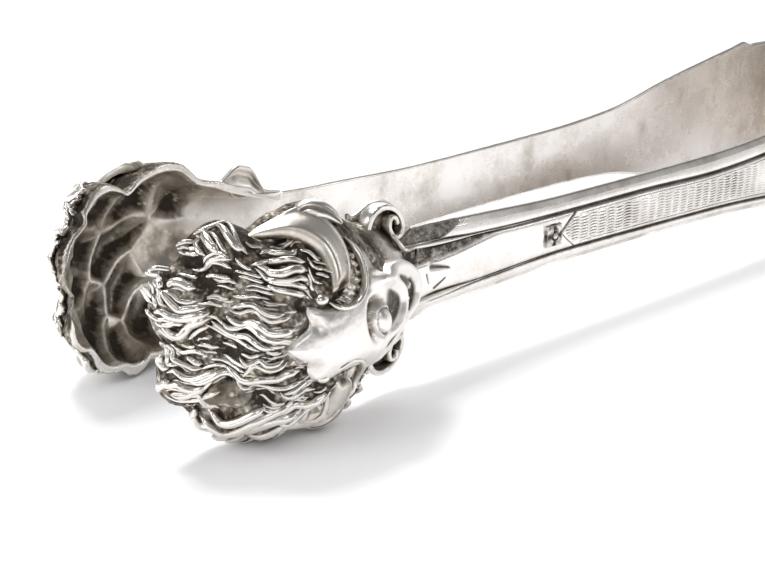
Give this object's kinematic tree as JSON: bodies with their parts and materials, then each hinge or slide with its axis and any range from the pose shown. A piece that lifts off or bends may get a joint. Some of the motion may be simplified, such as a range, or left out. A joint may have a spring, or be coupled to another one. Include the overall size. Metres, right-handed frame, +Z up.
{
  "type": "ice tongs",
  "caption": "Spring tongs of silver band: a half-round bow, two tapering stems with engraved threads, and hollow scalloped claws with scrollwork for gripping ice or sugar lumps.",
  "frame": {"origin": "middle of the footprint, on the plane the tongs rest on", "axes": "+X from the claw tips towards the bow, +Y across the opening from the front arm to the rear arm, +Z up with the tongs lying on their edge"},
  "size_m": [0.1888, 0.047, 0.0274],
  "materials": {
    "band_silver": "worn polished silver with light tarnish along the threads",
    "cast_silver": "cast silver, bright on the high points and dark with patina in the hollows",
    "scroll_silver": "burnished silver scrollwork with a faint warm tarnish"
  },
  "bodies": {
    "bow": {"spring_bow": "band_silver"},
    "front_arm": {"front_stem": "band_silver", "front_claw": "cast_silver", "front_cartouche": "cast_silver", "front_upper_scroll": "scroll_silver", "front_lower_scroll": "scroll_silver", "front_upper_volute": "scroll_silver", "front_lower_volute": "scroll_silver", "front_rosette": "cast_silver"},
    "rear_arm": {"rear_stem": "band_silver", "rear_claw": "cast_silver", "rear_cartouche": "cast_silver", "rear_upper_scroll": "scroll_silver", "rear_lower_scroll": "scroll_silver", "rear_upper_volute": "scroll_silver", "rear_lower_volute": "scroll_silver", "rear_rosette": "cast_silver"}
  },
  "joints": [
    {"name": "front_squeeze", "type": "hinge", "parent": "bow", "child": "front_arm", "pos_m": [0.0877, -0.0105, 0.01371], "axis": [0, 0, -1], "range_deg": [0, 2.75], "stiffness_Nm_per_rad": 15},
    {"name": "rear_squeeze", "type": "hinge", "parent": "bow", "child": "rear_arm", "pos_m": [0.0877, 0.0105, 0.01371], "axis": [0, 0, 1], "range_deg": [0, 2.75], "stiffness_Nm_per_rad": 15}
  ],
  "couplings": [
    {"joint": "rear_squeeze", "follows": "front_squeeze", "ratio": 1}
  ]
}
